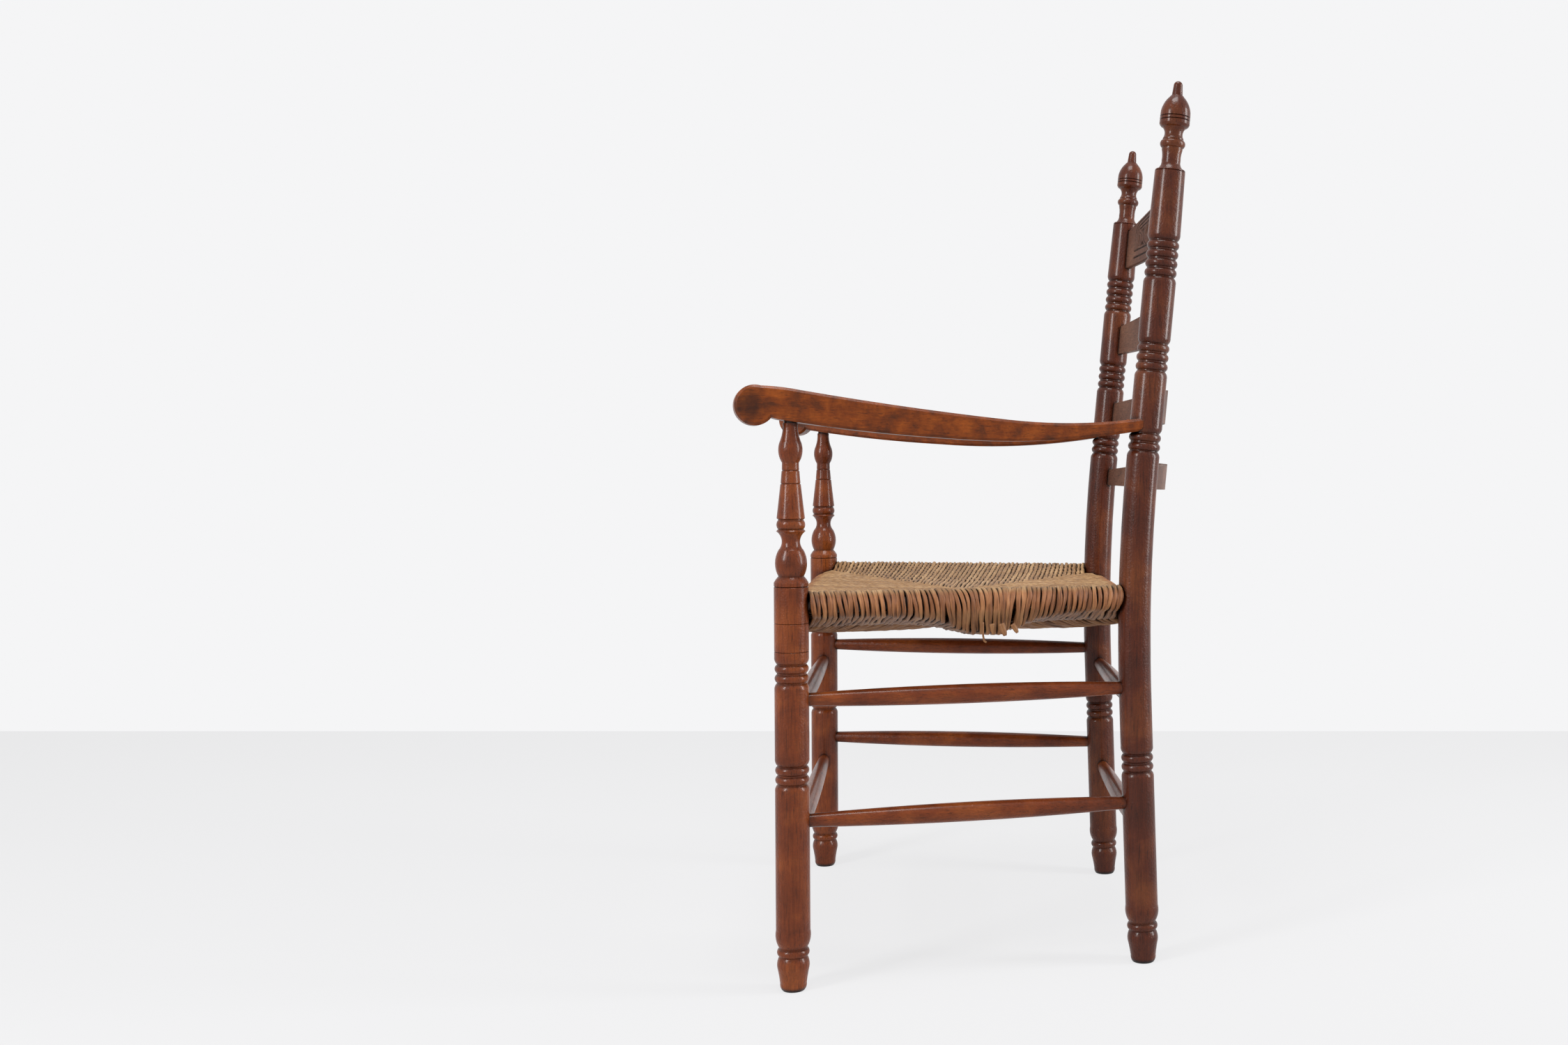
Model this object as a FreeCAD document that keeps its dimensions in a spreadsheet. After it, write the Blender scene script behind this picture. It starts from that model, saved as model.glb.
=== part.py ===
"""Ladder-back armchair: turned posts, four bowed slats, two sawn arms, dowelled
stretchers and a woven rush seat over four rails.

Millimetres. +Z is up and the sitter faces -Y, so the sitter's left is +X. The chair
stands on Z = 0 and its bounding box is centred on the Z axis.
"""
import FreeCAD, Part
import math
import os
import Sketcher
from FreeCAD import Placement, Rotation, Vector

ALONG_X = Vector(1, 0, 0)
ALONG_Z = Vector(0, 0, 1)
SIDES = {"left": 1, "right": -1}
PAST = 60  # how far a cutting shape runs past what it cuts

# Driving dimensions: alias, value, what it measures
DIMENSIONS = [
    ("front_spread", 560, "between the axes of the front posts"),
    ("back_spread", 412, "between the axes of the back posts"),
    ("frame_depth", 423, "front post axis to back post axis, on the floor"),
    # posts
    ("post_radius", 20, "plain turned lengths of every post"),
    ("ring_radius", 19.7, "crest of a turned ring"),
    ("ring_waist", 17.2, "bottom of the cut between two rings"),
    ("ring_pitch", 11.2, "ring to ring"),
    ("ring_width", 9.4, "height of one ring"),
    ("ring_shoulder", 8, "rounding of the plain length beside a ring group"),
    ("ankle_radius", 16.5, "cuts above and below the ring at the foot"),
    ("foot_radius", 13, "flat underside of a foot"),
    ("foot_ring_height", 45, "centre of the ring at the foot"),
    ("foot_rake", 1.9, "degrees the back legs rake out to the floor"),
    ("back_lean", 5.3, "degrees the back leans above the bend"),
    ("bend_start", 330, "where the bend in a back post begins, along its axis"),
    ("bend_length", 290, "length of that bend"),
    ("low_rings", 248.5, "middle of the back post's lowest ring group"),
    ("elbow_rings", 22.2, "end of the bend to the middle of the rings under the arm joint"),
    ("middle_rings", 125.8, "end of the bend to the rings between slats two and three"),
    ("upper_rings", 245.8, "end of the bend to the rings under the crest"),
    ("finial_base", 354.4, "end of the bend to the shoulder that the finial stands on"),
    ("finial_height", 107.3, "from that shoulder to the tip"),
    ("finial_radius", 18.4, "rim of the acorn"),
    ("calf_rings", 253, "middle of the front post's lower ring group"),
    ("knee_rings", 371.4, "middle of the front post's upper ring group"),
    ("leg_top", 477, "shoulder where the front leg ends and the arm support starts"),
    ("support_height", 184.5, "from that shoulder to the underside of the arm"),
    ("support_radius", 18.4, "ball of the arm support"),
    # joints
    ("tenon_depth", 19, "how far a rung or a rail runs into a post"),
    ("tenon_clearance", 0.15, "all round a round tenon"),
    ("socket_end_gap", 0.5, "beyond the end of a tenon"),
    ("mortise_clearance", 0.3, "all round a slat's end"),
    # rungs
    ("rung_end_radius", 7.8, "rung where it enters a post"),
    ("rung_mid_radius", 11.6, "rung at its middle"),
    ("side_upper_rung", 340, "height of the upper side rungs"),
    ("side_lower_rung", 198, "height of the lower side rungs"),
    ("front_upper_rung", 317, "height of the upper front rung"),
    ("front_lower_rung", 166, "height of the lower front rung"),
    ("back_upper_rung", 319, "height of the upper back rung"),
    ("back_lower_rung", 165, "height of the lower back rung"),
    # seat
    ("rail_radius", 9.5, "seat rail under the rush"),
    ("rail_tenon_radius", 6.1, "tenon on a seat rail"),
    ("rail_taper", 14, "length over which a rail swells from its tenon"),
    ("side_rail_drop", 26.5, "axis of the side seat rails, below the top of a front leg"),
    ("cross_rail_drop", 39.5, "axis of the front and back seat rails, below it"),
    ("side_wrap", 6.5, "rush wrapped round a side rail"),
    ("cross_wrap", 3.2, "rush wrapped round the front and back rails"),
    ("rush_clearance", 0.3, "rush to the wood it goes round"),
    ("seat_centre_drop", 33, "top of the rush where the fields meet, below the top of a leg"),
    ("seat_core", 32, "thickness of the rush where the fields meet"),
    ("cross_pouch_drop", 80, "lowest part of the front and back pouches, below the top of a leg"),
    ("side_pouch_drop", 58, "lowest part of the side pouches, below it"),
    ("seat_ridge_half", 38, "half the line where the front and back fields meet"),
    ("seat_ridge_offset", -6, "that line, from the middle of the frame"),
    # slats
    ("slat_thickness", 8, "every slat"),
    ("crest_drop", 68.2, "underside of the crest at the posts, below the shoulder of the finial"),
    ("crest_end", 56, "crest, height at the posts"),
    ("crest_rise", 34, "arch of its top edge"),
    ("crest_lift", 10, "arch of its bottom edge"),
    ("crest_bow", 37, "how far it bows to the rear"),
    ("upper_slat_drop", 194.8, "underside at the posts, below the shoulder of the finial"),
    ("upper_slat_end", 40, "height at the posts"),
    ("upper_slat_rise", 18, "arch of the top edge"),
    ("upper_slat_lift", 5, "arch of the bottom edge"),
    ("upper_slat_bow", 40, "bow to the rear"),
    ("middle_slat_drop", 307.3, "underside at the posts, below the shoulder of the finial"),
    ("middle_slat_end", 39, "height at the posts"),
    ("middle_slat_rise", 12, "arch of the top edge"),
    ("middle_slat_lift", 6, "arch of the bottom edge"),
    ("middle_slat_bow", 45, "bow to the rear"),
    ("lower_slat_drop", 389.1, "underside at the posts, below the shoulder of the finial"),
    ("lower_slat_end", 23, "height at the posts"),
    ("lower_slat_rise", 13, "arch of the top edge"),
    ("lower_slat_lift", 1.5, "arch of the bottom edge"),
    ("lower_slat_bow", 54, "bow to the rear"),
    # arms
    ("arm_width", 36, "arm from side to side"),
    ("arm_easing", 3, "eased edges of an arm"),
    ("arm_overhang", 41, "front post axis to the centre of the hand scroll"),
    ("arm_scroll_radius", 23.3, "hand scroll"),
    ("arm_scroll_lift", 20, "centre of the scroll above the underside at the front post"),
    ("arm_front_height", 41.5, "depth of the arm over the front post"),
    ("arm_waist_height", 25, "depth of the arm at its lowest stretch"),
    ("arm_waist_drop", 19.5, "its underside there, below the underside at the front post"),
    ("arm_rear_height", 15, "depth of the arm where it meets the back post"),
    ("arm_rear_drop", 6, "its underside there, below the underside at the front post"),
    ("arm_tenon_radius", 6, "tenon on the rear end of an arm"),
    ("arm_tenon_depth", 12, "how far that tenon runs into the back post"),
    ("support_tenon_radius", 7.5, "tenon on top of a front post"),
    ("support_tenon_length", 22, "length of that tenon"),
]

# Each slat's node, and the word that its sizes start with
SLATS = {
    "crest_slat": "crest",
    "upper_slat": "upper_slat",
    "middle_slat": "middle_slat",
    "lower_slat": "lower_slat",
}

doc = FreeCAD.newDocument("ladder_back_armchair")
dims = doc.addObject("Spreadsheet::Sheet", "dims")
for row, (alias, size, note) in enumerate(DIMENSIONS, start=1):
    dims.set(f"A{row}", alias)
    dims.set(f"B{row}", str(size))
    dims.set(f"C{row}", note)
    dims.setAlias(f"B{row}", alias)
doc.recompute()


def value(expression):
    """The number that an expression on the sheet gives now."""
    return float(dims.evalExpression(str(expression)))


class Outline:
    """A closed outline of straight and round runs whose points are expressions."""

    def __init__(self, across, up):
        self.points = [(across, up)]
        self.vias = []

    def line(self, across, up):
        self.points.append((across, up))
        self.vias.append(None)
        return self

    def arc(self, via_across, via_up, across, up):
        self.points.append((across, up))
        self.vias.append((via_across, via_up))
        return self

    def close(self):
        self.vias.append(None)
        return self


def locate(constraints, bindings, place, point):
    """Tie one sketch point to the expressions of an outline's point."""
    for kind, expression in zip(("DistanceX", "DistanceY"), point):
        constraints.append(Sketcher.Constraint(kind, -1, 1, *place, value(expression)))
        bindings.append(str(expression))


def draw(sketch, outline):
    """Put an outline in a sketch, every point tied to the sheet; an arc's middle point is
    a construction point that the arc is held to."""
    geometry = []
    ends = []
    count = len(outline.points)
    places = [Vector(value(across), value(up), 0) for across, up in outline.points]
    for run, via in enumerate(outline.vias):
        first, last = places[run], places[(run + 1) % count]
        if via is None:
            geometry.append(Part.LineSegment(first, last))
            ends.append((1, 2))
            continue
        middle = Vector(value(via[0]), value(via[1]), 0)
        counter_clockwise = (last - first).cross(middle - first).z < 0
        if counter_clockwise:
            geometry.append(Part.Arc(first, middle, last))
            ends.append((1, 2))
        else:
            geometry.append(Part.Arc(last, middle, first))
            ends.append((2, 1))
    sketch.addGeometry(geometry, False)
    constraints = []
    bindings = []
    for run in range(count):
        previous = (run - 1) % count
        constraints.append(Sketcher.Constraint("Coincident", previous, ends[previous][1], run, ends[run][0]))
        bindings.append(None)
        locate(constraints, bindings, (run, ends[run][0]), outline.points[run])
    for run, via in enumerate(outline.vias):
        if via is None:
            continue
        guide = sketch.addGeometry(Part.Point(Vector(value(via[0]), value(via[1]), 0)), True)
        locate(constraints, bindings, (guide, 1), via)
        constraints.append(Sketcher.Constraint("PointOnObject", guide, 1, run))
        bindings.append(None)
    sketch.addConstraint(constraints)
    for index, expression in enumerate(bindings):
        if expression is not None and "dims." in expression:
            name = f"size_{index}"
            sketch.renameConstraint(index, name)
            sketch.setExpression(f"Constraints.{name}", expression)


def new_body(name, placement=Placement()):
    body = doc.addObject("PartDesign::Body", name)
    body.Label = name
    body.Placement = placement
    return body


def new_sketch(body, name, role, offset=Placement()):
    sketch = body.newObject("Sketcher::SketchObject", f"{body.Name}_{name}")
    base = next(plane for plane in body.Origin.OriginFeatures if plane.Role == role)
    sketch.AttachmentSupport = (base, [""])
    sketch.MapMode = "FlatFace"
    sketch.AttachmentOffset = offset
    return sketch


def revolve(body, name, outline, offset=Placement()):
    """Turn an outline of radius and height about the body's upright axis."""
    sketch = new_sketch(body, f"{name}_outline", "XZ_Plane", offset)
    draw(sketch, outline)
    turning = body.newObject("PartDesign::Revolution", f"{body.Name}_{name}")
    turning.Profile = sketch
    turning.ReferenceAxis = (sketch, ["V_Axis"])
    turning.Angle = 360
    return turning


def extrude(body, kind, name, outline, role, length, offset=Placement(), midplane=True):
    """Pad or pocket an outline, to both sides of its plane unless told otherwise."""
    sketch = new_sketch(body, f"{name}_outline", role, offset)
    draw(sketch, outline)
    feature = body.newObject(f"PartDesign::{kind}", f"{body.Name}_{name}")
    feature.Profile = sketch
    feature.SideType = "Symmetric" if midplane else "One side"
    feature.setExpression("Length", str(length))
    return feature


def facing(point, direction):
    """A placement at a point whose Z axis runs along a direction."""
    return Placement(point, Rotation(ALONG_Z, direction))


def socket(body, name, point, direction, radius, length):
    """Drill from a blind end outwards; point and direction are in the chair's frame."""
    drill = body.newObject("PartDesign::SubtractiveCylinder", f"{body.Name}_{name}")
    drill.setExpression("Radius", radius)
    drill.setExpression("Height", length)
    drill.Placement = body.Placement.inverse().multiply(facing(point, direction))
    return drill


def add_rings(outline, middle, count):
    """Turned rings of one group, with the plain lengths rounded into them."""
    half_group = f"dims.ring_pitch * {count / 2}"
    rounding = "dims.post_radius - 0.3 * (dims.post_radius - dims.ring_waist)"
    outline.line("dims.post_radius", f"{middle} - {half_group} - dims.ring_shoulder")
    outline.arc(rounding, f"{middle} - {half_group} - dims.ring_shoulder * 0.35",
                "dims.ring_waist", f"{middle} - {half_group}")
    for ring in range(count):
        centre = f"{middle} + dims.ring_pitch * {ring - (count - 1) / 2}"
        outline.line("dims.ring_waist", f"{centre} - dims.ring_width / 2")
        outline.arc("dims.ring_radius", centre, "dims.ring_waist", f"{centre} + dims.ring_width / 2")
    outline.line("dims.ring_waist", f"{middle} + {half_group}")
    outline.arc(rounding, f"{middle} + {half_group} + dims.ring_shoulder * 0.35",
                "dims.post_radius", f"{middle} + {half_group} + dims.ring_shoulder")


def foot_outline():
    """Bulb foot and its ring, from the floor up to the plain leg."""
    ring = "dims.foot_ring_height"
    outline = Outline(0, 0).line("dims.foot_radius", 0)
    outline.arc("dims.foot_radius + 1.9", 3, "dims.foot_radius + 2.5", f"{ring} * 0.18")
    outline.arc("dims.foot_radius + 3.9", f"{ring} * 0.4", "dims.foot_radius + 5.7", f"{ring} * 0.6")
    outline.arc("dims.foot_radius + 5.6", f"{ring} * 0.75", "dims.ankle_radius", f"{ring} - 5.4")
    outline.line("dims.ankle_radius", f"{ring} - 4.6")
    outline.arc("dims.ankle_radius + 2.4", ring, "dims.ankle_radius", f"{ring} + 4.6")
    outline.line("dims.ankle_radius", f"{ring} + 5.4")
    outline.arc("dims.post_radius - 0.9", f"{ring} + 11", "dims.post_radius", f"{ring} + 26")
    return outline


def add_scribe(outline, radius, height, depth=0.5):
    """A fine line cut round a post."""
    outline.line(radius, f"{height} - {depth}")
    outline.line(f"{radius} - {depth}", height)
    outline.line(radius, f"{height} + {depth}")


def back_leg_outline():
    outline = foot_outline()
    add_rings(outline, "dims.low_rings", 2)
    outline.line("dims.post_radius", "dims.bend_start")
    return outline.line(0, "dims.bend_start").close()


def back_stile_outline():
    """The straight upper length of a back post, heights from the end of the bend."""
    shoulder = "dims.finial_base"
    outline = Outline(0, 0).line("dims.post_radius", 0)
    add_rings(outline, "dims.elbow_rings", 2)
    add_rings(outline, "dims.middle_rings", 3)
    add_rings(outline, "dims.upper_rings", 4)
    outline.line("dims.post_radius - 1.4", f"{shoulder} - 3")
    outline.line("dims.post_radius - 2.1", f"{shoulder} - 2.4")
    outline.line("dims.post_radius - 1.5", f"{shoulder} - 1.8")
    outline.arc("dims.post_radius - 2.2", f"{shoulder} - 0.3", "dims.post_radius - 4.5", shoulder)
    add_finial(outline, shoulder)
    return outline.close()


def add_finial(outline, shoulder):
    """Neck, bead, neck, acorn and nub; every height is a share of the finial's own."""
    def at(share):
        return f"{shoulder} + dims.finial_height * {share}"

    rim = "dims.finial_radius"
    outline.line(f"{rim} * 0.72", at(0.030))
    outline.arc(f"{rim} * 0.65", at(0.055), f"{rim} * 0.63", at(0.10))
    outline.arc(f"{rim} * 0.63", at(0.17), f"{rim} * 0.69", at(0.225))
    outline.line(f"{rim} * 0.69", at(0.245))
    outline.arc(f"{rim} * 0.84", at(0.290), f"{rim} * 0.69", at(0.335))
    outline.line(f"{rim} * 0.69", at(0.35))
    outline.arc(f"{rim} * 0.60", at(0.41), f"{rim} * 0.78", at(0.475))
    outline.arc(f"{rim} * 0.92", at(0.49), rim, at(0.515))
    for line_height in (0.555, 0.592):
        outline.line(rim, at(line_height - 0.007))
        outline.line(f"{rim} * 0.955", at(line_height))
        outline.line(rim, at(line_height + 0.007))
    outline.arc(f"{rim} * 0.86", at(0.728), f"{rim} * 0.50", at(0.818))
    outline.line(f"{rim} * 0.42", at(0.834))
    outline.line(f"{rim} * 0.36", at(0.842))
    outline.line(f"{rim} * 0.30", at(0.945))
    outline.arc(f"{rim} * 0.24", at(0.982), f"{rim} * 0.08", at(1))
    outline.line(0, at(1))


def front_post_outline():
    """Leg with two ring groups, then the arm support turned above it in one piece."""
    outline = foot_outline()
    add_rings(outline, "dims.calf_rings", 2)
    add_rings(outline, "dims.knee_rings", 2)
    knee_top = "(dims.knee_rings + dims.ring_pitch + dims.ring_shoulder)"
    for share in (0.075, 0.456):
        add_scribe(outline, "dims.post_radius", f"{knee_top} + (dims.leg_top - {knee_top}) * {share}")
    add_scribe(outline, "dims.post_radius", "dims.leg_top - 4.5", 0.8)
    outline.line("dims.post_radius", "dims.leg_top")
    add_arm_support(outline)
    return outline.close()


def add_arm_support(outline):
    """Ball, cove, disc, ring, cone and bulb; heights are shares of the support's own."""
    def at(share):
        return f"dims.leg_top + dims.support_height * {share}"

    ball = "dims.support_radius"
    outline.arc(f"{ball} * 0.98", at(0.018), f"{ball} * 0.80", at(0.040))
    outline.arc(ball, at(0.130), f"{ball} * 0.79", at(0.204))
    outline.arc(f"{ball} * 0.575", at(0.254), f"{ball} * 0.92", at(0.323))
    outline.line(f"{ball} * 0.80", at(0.336))
    outline.arc(f"{ball} * 0.90", at(0.364), f"{ball} * 0.80", at(0.392))
    outline.line(f"{ball} * 0.80", at(0.398))
    outline.line(f"{ball} * 0.885", at(0.404))
    outline.line(f"{ball} * 0.64", at(0.616))
    outline.line(f"{ball} * 0.59", at(0.621))
    outline.line(f"{ball} * 0.62", at(0.627))
    outline.line(f"{ball} * 0.56", at(0.698))
    outline.line(f"{ball} * 0.51", at(0.704))
    outline.line(f"{ball} * 0.54", at(0.710))
    outline.line(f"{ball} * 0.53", at(0.752))
    outline.arc(f"{ball} * 0.755", at(0.822), f"{ball} * 0.62", at(0.895))
    outline.arc(f"{ball} * 0.48", at(0.955), f"{ball} * 0.47", at(1))
    outline.line("dims.support_tenon_radius", at(1))
    outline.line("dims.support_tenon_radius", f"{at(1)} + dims.support_tenon_length")
    outline.line(0, f"{at(1)} + dims.support_tenon_length")


def spindle_outline(length, end_radius, middle_radius):
    """A rung: straight in its sockets, swelling gently to the middle."""
    outline = Outline(0, 0).line(end_radius, 0).line(end_radius, "dims.tenon_depth")
    outline.arc(middle_radius, f"{length / 2}", end_radius, f"{length} - dims.tenon_depth")
    return outline.line(end_radius, length).line(0, length).close()


def rail_outline(length):
    """A seat rail: round tenons that swell into a plain round rail."""
    tenon, rail = "dims.rail_tenon_radius", "dims.rail_radius"
    outline = Outline(0, 0).line(tenon, 0).line(tenon, "dims.tenon_depth")
    outline.line(rail, "dims.tenon_depth + dims.rail_taper")
    outline.line(rail, f"{length} - dims.tenon_depth - dims.rail_taper")
    outline.line(tenon, f"{length} - dims.tenon_depth").line(tenon, length)
    return outline.line(0, length).close()


# Where the posts stand. The back post's axis is straight, then bends, then straight again.
front_y = -value("dims.frame_depth") / 2
back_foot_y = value("dims.frame_depth") / 2
rake = math.radians(value("dims.foot_rake"))
bend = rake + math.radians(value("dims.back_lean"))
bend_start = value("dims.bend_start")
bend_radius = value("dims.bend_length") / bend
tenon_tip = value("dims.post_radius - dims.tenon_depth")


def back_post_frame(side):
    """Frame of a back post: its Z axis is the lower length, raked forwards going up. It
    starts just under the floor, so that sawing the foot level takes its whole underside."""
    sunk = value("dims.foot_radius") * math.sin(rake)
    foot = Vector(side * value("dims.back_spread") / 2, back_foot_y, -sunk)
    return Placement(foot, Rotation(ALONG_X, math.degrees(rake)))


def stile_offset():
    """From a back post's frame to the end of its bend, Z along the upper length."""
    end = Vector(0, bend_radius * (1 - math.cos(bend)), bend_start + bend_radius * math.sin(bend))
    return Placement(end, Rotation(ALONG_X, -math.degrees(bend)))


def back_axis(side, height):
    """Point of a back post's axis at a height above the floor."""
    frame = back_post_frame(side)
    low, high = 0, value("dims.bend_start + dims.bend_length + dims.finial_base")
    for _ in range(40):
        along = (low + high) / 2
        if along < bend_start:
            local = Vector(0, 0, along)
        elif along < bend_start + bend_radius * bend:
            turned = (along - bend_start) / bend_radius
            aside, up = 1 - math.cos(turned), math.sin(turned)
            local = Vector(0, bend_radius * aside, bend_start + bend_radius * up)
        else:
            beyond = along - bend_start - bend_radius * bend
            local = stile_offset().multVec(Vector(0, 0, beyond))
        point = frame.multVec(local)
        if point.z < height:
            low = along
        else:
            high = along
    return point


def front_axis(side, height):
    return Vector(side * value("dims.front_spread") / 2, front_y, height)


def ladder_frame(along):
    """Frame midway between the upper posts, so far along them from the end of the bend."""
    upper = back_post_frame(0).multiply(stile_offset())
    return upper.multiply(Placement(Vector(0, 0, along), Rotation()))


def slat_frame(size):
    """Frame of a slat's straight underside, hung from the shoulder of the finials."""
    return ladder_frame(value(f"dims.finial_base - dims.{size}_drop"))


def rung_joints():
    """Every rung and rail: name, its two axis points, and what it is."""
    joints = []
    for name, side in SIDES.items():
        for level in ("upper", "lower"):
            height = value(f"dims.side_{level}_rung")
            joints.append((f"{level}_{name}_rung", front_axis(side, height), back_axis(side, height), "rung"))
        height = value("dims.leg_top - dims.side_rail_drop")
        joints.append((f"{name}_seat_rail", front_axis(side, height), back_axis(side, height), "rail"))
    for place, axis in (("front", front_axis), ("back", back_axis)):
        for level in ("upper", "lower"):
            height = value(f"dims.{place}_{level}_rung")
            joints.append((f"{level}_{place}_rung", axis(-1, height), axis(1, height), "rung"))
        height = value("dims.leg_top - dims.cross_rail_drop")
        joints.append((f"{place}_seat_rail", axis(-1, height), axis(1, height), "rail"))
    return joints


def make_rung(name, first, last, kind):
    """A turned rung or rail between two post axes, its ends short of them."""
    along = (last - first).normalize()
    length = (last - first).Length - 2 * tenon_tip
    body = new_body(name, facing(first + along * tenon_tip, along))
    if kind == "rung":
        outline = spindle_outline(length, "dims.rung_end_radius", "dims.rung_mid_radius")
    else:
        outline = rail_outline(length)
    revolve(body, "turning", outline)
    return body


def drill_sockets(body, post, joints):
    """Sockets in one post for every rung and rail that ends on its axis."""
    for name, first, last, kind in joints:
        for end, other in ((first, last), (last, first)):
            if (Vector(end.x, end.y, 0) - Vector(post(end.z).x, post(end.z).y, 0)).Length > 1:
                continue
            direction = (other - end).normalize()
            start = end + direction * (tenon_tip - value("dims.socket_end_gap"))
            radius = "dims.rung_end_radius" if kind == "rung" else "dims.rail_tenon_radius"
            socket(body, f"{name}_socket", start, direction, f"{radius} + dims.tenon_clearance",
                   "dims.post_radius + dims.tenon_depth")


def slat_curve(bow):
    """Radius of a slat's bow, and its heading where the slat is halfway into a post."""
    half = value("dims.back_spread") / 2
    radius = (half ** 2 + bow ** 2) / (2 * bow)
    reach = half - value("dims.post_radius") / 2
    return radius, math.asin(reach / radius)


def cut_mortise(body, side, node, size):
    """A slanted slot that takes the end of a bowed slat."""
    heading = slat_curve(value(f"dims.{size}_bow"))[1]
    gap = value("dims.mortise_clearance")
    thickness = value("dims.slat_thickness") + 2 * gap
    frame = slat_frame(size)
    corner = Placement(Vector(side * value("dims.back_spread") / 2, 0, -gap), Rotation())
    inwards = Rotation(ALONG_Z, 180 - math.degrees(heading) if side > 0 else math.degrees(heading))
    start = Placement(Vector(-value("dims.socket_end_gap") - thickness / 2, -thickness / 2, 0), Rotation())
    slot = body.newObject("PartDesign::SubtractiveBox", f"{body.Name}_{node}_mortise")
    slot.setExpression("Length", "dims.post_radius * 2")
    slot.setExpression("Width", "dims.slat_thickness + 2 * dims.mortise_clearance")
    slot.setExpression("Height", f"dims.{size}_end + 2 * dims.mortise_clearance")
    placed = frame.multiply(corner).multiply(Placement(Vector(), inwards)).multiply(start)
    slot.Placement = body.Placement.inverse().multiply(placed)


def make_back_post(name, side, joints):
    """Turned leg, bend and leaning upper length with its finial, drilled and mortised."""
    body = new_body(f"{name}_back_post", back_post_frame(side))
    revolve(body, "leg", back_leg_outline())
    raised = Placement(Vector(0, 0, bend_start), Rotation())
    bend_sketch = new_sketch(body, "bend_section", "XY_Plane", raised)
    bend_sketch.addGeometry(Part.Circle(Vector(), ALONG_Z, value("dims.post_radius")), False)
    bend_axis = Part.LineSegment(Vector(-PAST, bend_radius, 0), Vector(PAST, bend_radius, 0))
    bend_sketch.addGeometry(bend_axis, True)
    bend_sketch.addConstraint([
        Sketcher.Constraint("Coincident", 0, 3, -1, 1),
        Sketcher.Constraint("Radius", 0, value("dims.post_radius")),
    ])
    bend_sketch.renameConstraint(1, "radius")
    bend_sketch.setExpression("Constraints.radius", "dims.post_radius")
    turn = body.newObject("PartDesign::Revolution", f"{body.Name}_bend")
    turn.Profile = bend_sketch
    turn.ReferenceAxis = (bend_sketch, ["Axis0"])
    turn.setExpression("Angle", "dims.foot_rake + dims.back_lean")
    turn.Reversed = True
    offset = stile_offset()
    in_plane = Placement(Vector(0, offset.Base.z, -offset.Base.y), Rotation(ALONG_X, -math.degrees(bend)))
    revolve(body, "stile", back_stile_outline(), in_plane)
    drill_sockets(body, lambda height: back_axis(side, height), joints)
    for node, size in SLATS.items():
        cut_mortise(body, side, node, size)
    tenon = arm_tenon(side)
    socket(body, "arm_socket", tenon.Base, tenon.Rotation.multVec(ALONG_Z),
           "dims.arm_tenon_radius + dims.tenon_clearance", "dims.post_radius * 2")
    level_foot(body)
    return body


def level_foot(body):
    """Saw the raked foot level with the floor."""
    saw = body.newObject("PartDesign::SubtractiveBox", f"{body.Name}_level_foot")
    width = value("dims.post_radius") * 4
    for size in ("Length", "Width"):
        saw.setExpression(size, "dims.post_radius * 4")
    saw.setExpression("Height", "dims.post_radius")
    under = Placement(Vector(body.Placement.Base.x - width / 2, body.Placement.Base.y - width / 2,
                             -value("dims.post_radius")), Rotation())
    saw.Placement = body.Placement.inverse().multiply(under)


def make_front_post(name, side, joints):
    body = new_body(f"{name}_front_post", Placement(front_axis(side, 0), Rotation()))
    revolve(body, "turning", front_post_outline())
    drill_sockets(body, lambda height: front_axis(side, height), joints)
    return body


def make_slat(node, size):
    """A slat bent in plan, its two edges arched between straight ends."""
    body = new_body(node, slat_frame(size))
    half, bow = "dims.back_spread / 2", f"dims.{size}_bow"
    front, rear = "0 - dims.slat_thickness / 2", "dims.slat_thickness / 2"
    plan = Outline(f"0 - {half}", front)
    plan.arc(0, f"{bow} - dims.slat_thickness / 2", half, front).line(half, rear)
    plan.arc(0, f"{bow} + dims.slat_thickness / 2", f"0 - {half}", rear).close()
    top = f"dims.{size}_end"
    peak = f"dims.{size}_end + dims.{size}_rise"
    extrude(body, "Pad", "bent_board", plan, "XY_Plane", peak, midplane=False)
    shoulder = f"{half} - dims.post_radius"
    outside, over = f"({half} + {PAST})", f"{peak} + {PAST}"
    above = Outline(f"0 - {outside}", top).line(f"0 - ({shoulder})", top)
    above.arc(0, peak, shoulder, top).line(outside, top).line(outside, over)
    above.line(f"0 - {outside}", over).close()
    extrude(body, "Pocket", "top_edge", above, "XZ_Plane", f"4 * {bow}")
    below = Outline(f"0 - ({shoulder})", 0).arc(0, f"dims.{size}_lift", shoulder, 0).close()
    extrude(body, "Pocket", "bottom_edge", below, "XZ_Plane", f"4 * {bow}")
    return body


def arm_frame(side):
    """Frame of an arm: origin on the back post's axis at the underside's height over the
    front post, X forwards along the arm, Z up."""
    underside = value("dims.leg_top + dims.support_height")
    rear = back_axis(side, underside)
    front = front_axis(side, underside)
    origin = Vector(rear.x, rear.y, underside)
    forwards = Rotation(ALONG_X, Vector(front.x - rear.x, front.y - rear.y, 0))
    return Placement(origin, forwards), Vector(front.x - rear.x, front.y - rear.y, 0).Length


def arm_tenon(side):
    """Blind end of the socket for an arm's rear tenon, heading along the arm."""
    frame, _ = arm_frame(side)
    height = value("dims.arm_rear_height") / 2 - value("dims.arm_rear_drop")
    blind_end = value("dims.post_radius - dims.arm_tenon_depth - dims.socket_end_gap")
    tip = Placement(Vector(blind_end, 0, height), Rotation(ALONG_Z, ALONG_X))
    return frame.multiply(tip)


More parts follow.
